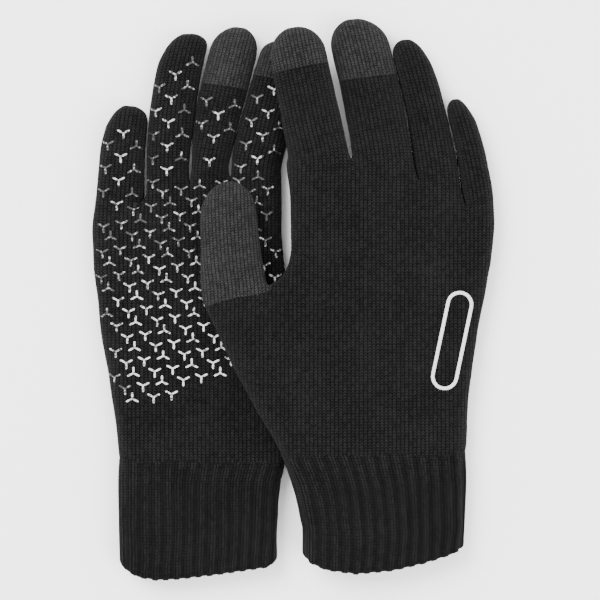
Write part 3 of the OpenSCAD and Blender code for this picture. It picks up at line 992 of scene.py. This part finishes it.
# %% The fuzz group: loose fibres and uneven dye
fuzz, f_in, f_out = group("Yarn fuzz", [("Vector", VECTOR, None), ("Fibres", FLOAT, 1.0)],
                          [("Fibre", FLOAT), ("Dye", FLOAT)])
fine = node(fuzz, "ShaderNodeTexNoise", (-900, 100))
fine.inputs["Scale"].default_value = 2600
fine.inputs["Detail"].default_value = 3
broad = node(fuzz, "ShaderNodeTexNoise", (-900, -200))
broad.inputs["Scale"].default_value = 55
broad.inputs["Detail"].default_value = 2
for n in (fine, broad):
    fuzz.links.new(f_in.outputs["Vector"], n.inputs["Vector"])
fibre = maths(fuzz, "MULTIPLY", (0, 100), maths(fuzz, "SUBTRACT", (-300, 100), fine.outputs[0], 0.5),
              f_in.outputs["Fibres"])
fuzz.links.new(fibre, f_out.inputs["Fibre"])
fuzz.links.new(broad.outputs[0], f_out.inputs["Dye"])


# %% The rib group: light on a rib's proud wales, dark in the hollow beside it
shade, r_in, r_out = group(
    "Rib shade", [("Vector", VECTOR, None), ("Pitch", FLOAT, 5.0)], [("Mask", FLOAT)])
ribs = node(shade, "ShaderNodeSeparateXYZ", (-1000, 0))
shade.links.new(r_in.outputs["Vector"], ribs.inputs[0])
phase = maths(shade, "DIVIDE", (-900, 0), ribs.outputs[0], r_in.outputs["Pitch"])
phase = maths(shade, "FRACT", (-800, 0), phase)
far = maths(shade, "ABSOLUTE", (-600, 0), maths(shade, "SUBTRACT", (-700, 0), phase, 0.5))
ramp = node(shade, "ShaderNodeMapRange", (-450, 0), interpolation_type="SMOOTHSTEP")
for label, value in (("From Min", 0.2), ("From Max", 0.36), ("To Min", 1.1), ("To Max", 0.55)):
    ramp.inputs[label].default_value = value
shade.links.new(far, ramp.inputs["Value"])
shade.links.new(ramp.outputs[0], r_out.inputs["Mask"])


# %% Helpers that every material shares
def new_material(name, roughness):
    """A new material, with its node tree and its Principled shader."""
    mat = bpy.data.materials.new(name)
    mat.use_nodes = True
    shader = mat.node_tree.nodes["Principled BSDF"]
    shader.inputs["Roughness"].default_value = roughness
    return mat, mat.node_tree, shader


def grey(level):
    return (level, level, level, 1)


def blend_colours(tree, place, factor, dark, light):
    """A colour between two, each a plain colour or another node's output."""
    n = node(tree, "ShaderNodeMix", place, data_type="RGBA", clamp_factor=True)
    tree.links.new(factor, n.inputs["Factor"])
    for socket, value in (("A", dark), ("B", light)):
        if isinstance(value, tuple):
            n.inputs[socket].default_value = value
        else:
            tree.links.new(value, n.inputs[socket])
    return n.outputs["Result"]


def add_relief(tree, shader, height, strength, distance):
    relief = node(tree, "ShaderNodeBump", (-300, -300))
    relief.inputs["Strength"].default_value = strength
    relief.inputs["Distance"].default_value = distance
    tree.links.new(height, relief.inputs["Height"])
    tree.links.new(relief.outputs[0], shader.inputs["Normal"])


# %% A yarn material
FIBRES, DYE, FIBRE_BUMP = 1.5, 0.35, 0.35
TO_MM = 1 / MM


def yarn(name, groove_shade, crest, wale=2.0, course=1.25, rib=0.0, from_object=False):
    mat, tree, shader = new_material(name, 0.95)
    shader.inputs["Specular IOR Level"].default_value = 0.05
    shader.inputs["Sheen Weight"].default_value = 0.02
    shader.inputs["Sheen Roughness"].default_value = 0.45
    place = node(tree, "ShaderNodeTexCoord", (-1500, -200))
    if from_object:
        coords = node(tree, "ShaderNodeMapping", (-1300, 200))
        coords.inputs["Scale"].default_value = (TO_MM, TO_MM, TO_MM)
        tree.links.new(place.outputs["Object"], coords.inputs["Vector"])
    else:
        coords = node(tree, "ShaderNodeUVMap", (-1300, 200), uv_map="Knit")
    knit = node(tree, "ShaderNodeGroup", (-1000, 200), node_tree=stitches)
    knit.inputs["Wale"].default_value = wale
    knit.inputs["Course"].default_value = course
    tree.links.new(coords.outputs[0], knit.inputs["Vector"])
    hair = node(tree, "ShaderNodeGroup", (-1000, -200), node_tree=fuzz)
    hair.inputs["Fibres"].default_value = FIBRES
    tree.links.new(place.outputs["Object"], hair.inputs["Vector"])
    dye = maths(tree, "SUBTRACT", (-800, -250), hair.outputs["Dye"], 0.5)
    light = maths(tree, "ADD", (-700, 0), knit.outputs["Crest"], hair.outputs["Fibre"])
    light = maths(tree, "ADD", (-600, 0), light, maths(tree, "MULTIPLY", (-700, -250), dye, DYE))
    if rib:
        mask = node(tree, "ShaderNodeGroup", (-700, 400), node_tree=shade)
        mask.inputs["Pitch"].default_value = rib
        tree.links.new(coords.outputs[0], mask.inputs["Vector"])
        light = maths(tree, "MULTIPLY", (-500, 0), light, mask.outputs["Mask"])
    # The base colour runs from painted shade in the grooves to painted light on the crests; on the ribs the
    # rib shade mask adds painted light on the proud wales and painted shade in the hollows. The fibres and
    # the dye are the yarn's own unevenness.
    colour = blend_colours(tree, (-400, 100), light, grey(groove_shade), grey(crest))
    tree.links.new(colour, shader.inputs["Base Color"])
    rough = maths(tree, "MULTIPLY", (-600, -400), hair.outputs["Fibre"], FIBRE_BUMP)
    height = maths(tree, "ADD", (-500, -300), knit.outputs["Height"], rough)
    add_relief(tree, shader, height, 0.9, 0.0006)
    return mat


PITCH = RIB_WALES * RIB_WALE
materials = {
    "knit": yarn("Black wool knit", 0.0005, 0.014, wale=1.8),
    "rib": yarn("Black rib knit", 0.0006, 0.0155, wale=RIB_WALE, course=1.2, rib=PITCH),
    "hem": yarn("Black hem knit", 0.0006, 0.0145, wale=RIB_WALE, course=1.0, rib=PITCH),
    "conductive_knit": yarn("Charcoal touch yarn", 0.003, 0.036, wale=1.6, course=1.1),
    "elastic": yarn("Elastic thread", 0.012, 0.04, wale=0.8, course=0.6, from_object=True),
}


# %% The prints' silicone and the emblem's thread
def silicone(name):
    """Pale silicone that only holds to the tops of the stitches, so it is broken up by the knit."""
    mat, tree, shader = new_material(name, 0.55)
    place = node(tree, "ShaderNodeTexCoord", (-1200, 0))
    cover = node(tree, "ShaderNodeAttribute", (-1200, -300), attribute_name="Cover")
    grain = node(tree, "ShaderNodeTexNoise", (-1000, 0))
    grain.inputs["Scale"].default_value = 900
    grain.inputs["Detail"].default_value = 2
    tree.links.new(place.outputs["Object"], grain.inputs["Vector"])
    held = maths(tree, "MULTIPLY_ADD", (-800, -300), cover.outputs["Fac"], 0.3, -0.19)
    held = maths(tree, "ADD", (-700, 0), grain.outputs[0], held)
    edge = node(tree, "ShaderNodeMapRange", (-500, 0))
    edge.inputs["From Min"].default_value = 0.44
    edge.inputs["From Max"].default_value = 0.54
    tree.links.new(held, edge.inputs["Value"])
    # How pale the silicone is follows the cover value and the grain; its rise towards the heel is a painted
    # reflection on the glossy silicone.
    patchy = maths(tree, "MULTIPLY_ADD", (-800, 300), grain.outputs[0], 1.6, -0.95)
    patchy = maths(tree, "ADD", (-700, 300), cover.outputs["Fac"], patchy)
    pale = blend_colours(tree, (-500, 300), patchy, grey(0.1), grey(0.5))
    colour = blend_colours(tree, (-300, 0), edge.outputs[0], grey(0.004), pale)
    tree.links.new(colour, shader.inputs["Base Color"])
    add_relief(tree, shader, grain.outputs[0], 0.4, 0.0002)
    return mat


def thread(name):
    """White embroidery thread in fine stripes along each stitch, of painted sheen on each thread and painted
    shade between the threads; the same stripes give its bump.
    """
    mat, tree, shader = new_material(name, 0.5)
    shader.inputs["Sheen Weight"].default_value = 0.25
    coords = node(tree, "ShaderNodeUVMap", (-1200, 0), uv_map="Knit")
    strand_sheen_and_relief = node(tree, "ShaderNodeTexWave", (-900, 0), wave_type="BANDS", bands_direction="X")
    strand_sheen_and_relief.inputs["Scale"].default_value = 1.1
    strand_sheen_and_relief.inputs["Distortion"].default_value = 0.6
    tree.links.new(coords.outputs[0], strand_sheen_and_relief.inputs["Vector"])
    # Light and dark stripes: painted sheen on each thread and painted shade between the threads.
    colour = blend_colours(tree, (-400, 0), strand_sheen_and_relief.outputs["Fac"], grey(0.42), grey(0.86))
    tree.links.new(colour, shader.inputs["Base Color"])
    add_relief(tree, shader, strand_sheen_and_relief.outputs["Fac"], 0.5, 0.0001)
    return mat


materials["print"] = silicone("Pale silicone print")
materials["thread"] = thread("White embroidery thread")

# %% [markdown]
# ## Each piece gets its finish, and its glove's body unless it lies on a stall that has a joint
# A piece on a stall that has a joint, and everything printed on it, gets no body: it keeps its place in
# the scene, and only the ends of the stall's first centimetre are worked out.

# %% Which finish, which body and which CAD node each piece stands for
CHARCOAL = {"upper_thumb_knit", "upper_index_tip_knit", "upper_middle_tip_knit", "lower_thumb_knit",
            "lower_index_tip_knit", "lower_middle_tip_knit"}
JOINED = {"upper": STALLS, "lower": ("middle", "ring", "pinky")}
BEND_FROM, BEND_TO = 0.5, 11.0
CAD_NAMES = {"_palm_print": "_palm_grip", "_print": "_grip", "_knit": "", "_cuff_rib": "_cuff",
             "_hem_roll": "_hem", "_emblem_stitch": "_emblem"}


def finish_of(name):
    for word, slot in (("print", "print"), ("emblem", "thread"), ("hem", "hem"), ("cuff", "rib")):
        if word in name:
            return slot
    return "conductive_knit" if name in CHARCOAL else "knit"


def cad_node(name):
    for word, other in CAD_NAMES.items():
        if name.endswith(word):
            return name[:-len(word)] + other
    return name


for name, ob in pieces.items():
    side, part = name.split("_")[:2]
    slot = finish_of(name)
    ob.data.materials.clear()
    ob.data.materials.append(materials[slot])
    body = f"{side}_{part}_stall"
    if part in JOINED[side] and body in frame["bodies"]:
        start = to_world(side, stall_centre(side, part, BEND_FROM))
        end = to_world(side, stall_centre(side, part, BEND_TO))
        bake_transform(ob)
    else:
        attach(ob, side + "_glove")
    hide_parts(cad_node(name))
for name, ob in frame["nodes"].items():
    if name.endswith("cuff_elastic"):
        ob.data.materials.clear()
        ob.data.materials.append(materials["elastic"])
print(len(pieces), "pieces finished")

# %% [markdown]
# ## Floor, light and camera
# The gloves lie on a white table under a big soft light, seen from straight above.

# %% Floor
bm = bmesh.new()
bmesh.ops.create_grid(bm, x_segments=1, y_segments=1, size=1.5)
floor_mesh = bpy.data.meshes.new("Floor")
bm.to_mesh(floor_mesh)
bm.free()
floor = bpy.data.objects.new("Floor", floor_mesh)
bpy.context.collection.objects.link(floor)
floor_mat, _tree, floor_shader = new_material("White table", 0.9)
floor_shader.inputs["Base Color"].default_value = grey(0.96)
floor_mesh.materials.append(floor_mat)
floor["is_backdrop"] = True


# %% Lights
def soft_light(name, place, size, watts):
    data = bpy.data.lights.new(name, "AREA")
    data.shape, data.size, data.energy = "DISK", size, watts
    lamp = bpy.data.objects.new(name, data)
    bpy.context.collection.objects.link(lamp)
    lamp.location = place
    lamp.rotation_euler = (-Vector(place)).to_track_quat("-Z", "Y").to_euler()


soft_light("Key", (-0.9, 0.9, 1.5), 1.2, 74)
soft_light("Fill", (1.0, -0.5, 1.3), 1.4, 28)
world = bpy.data.worlds.new("Studio")
bpy.context.scene.world = world
world.use_nodes = True
world.node_tree.nodes["Background"].inputs["Color"].default_value = (1, 1, 1, 1)
world.node_tree.nodes["Background"].inputs["Strength"].default_value = 2.3

# %% Camera
VIEW_WIDE, LENS = 0.264, 135.0
camera_data = bpy.data.cameras.new("Camera")
camera_data.lens, camera_data.sensor_width = LENS, 36.0
camera = bpy.data.objects.new("Camera", camera_data)
bpy.context.collection.objects.link(camera)
camera.location = (0.0024, -0.0010, 0.008 + VIEW_WIDE * LENS / 36.0)
bpy.context.scene.camera = camera

# %% Print the sizes of both boxes, and finish
visual_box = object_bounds()
plain = [[[round(c, 6) for c in corner] for corner in box] for box in (cad_box, visual_box)]
print("CAD box", plain[0], "visual box", plain[1])
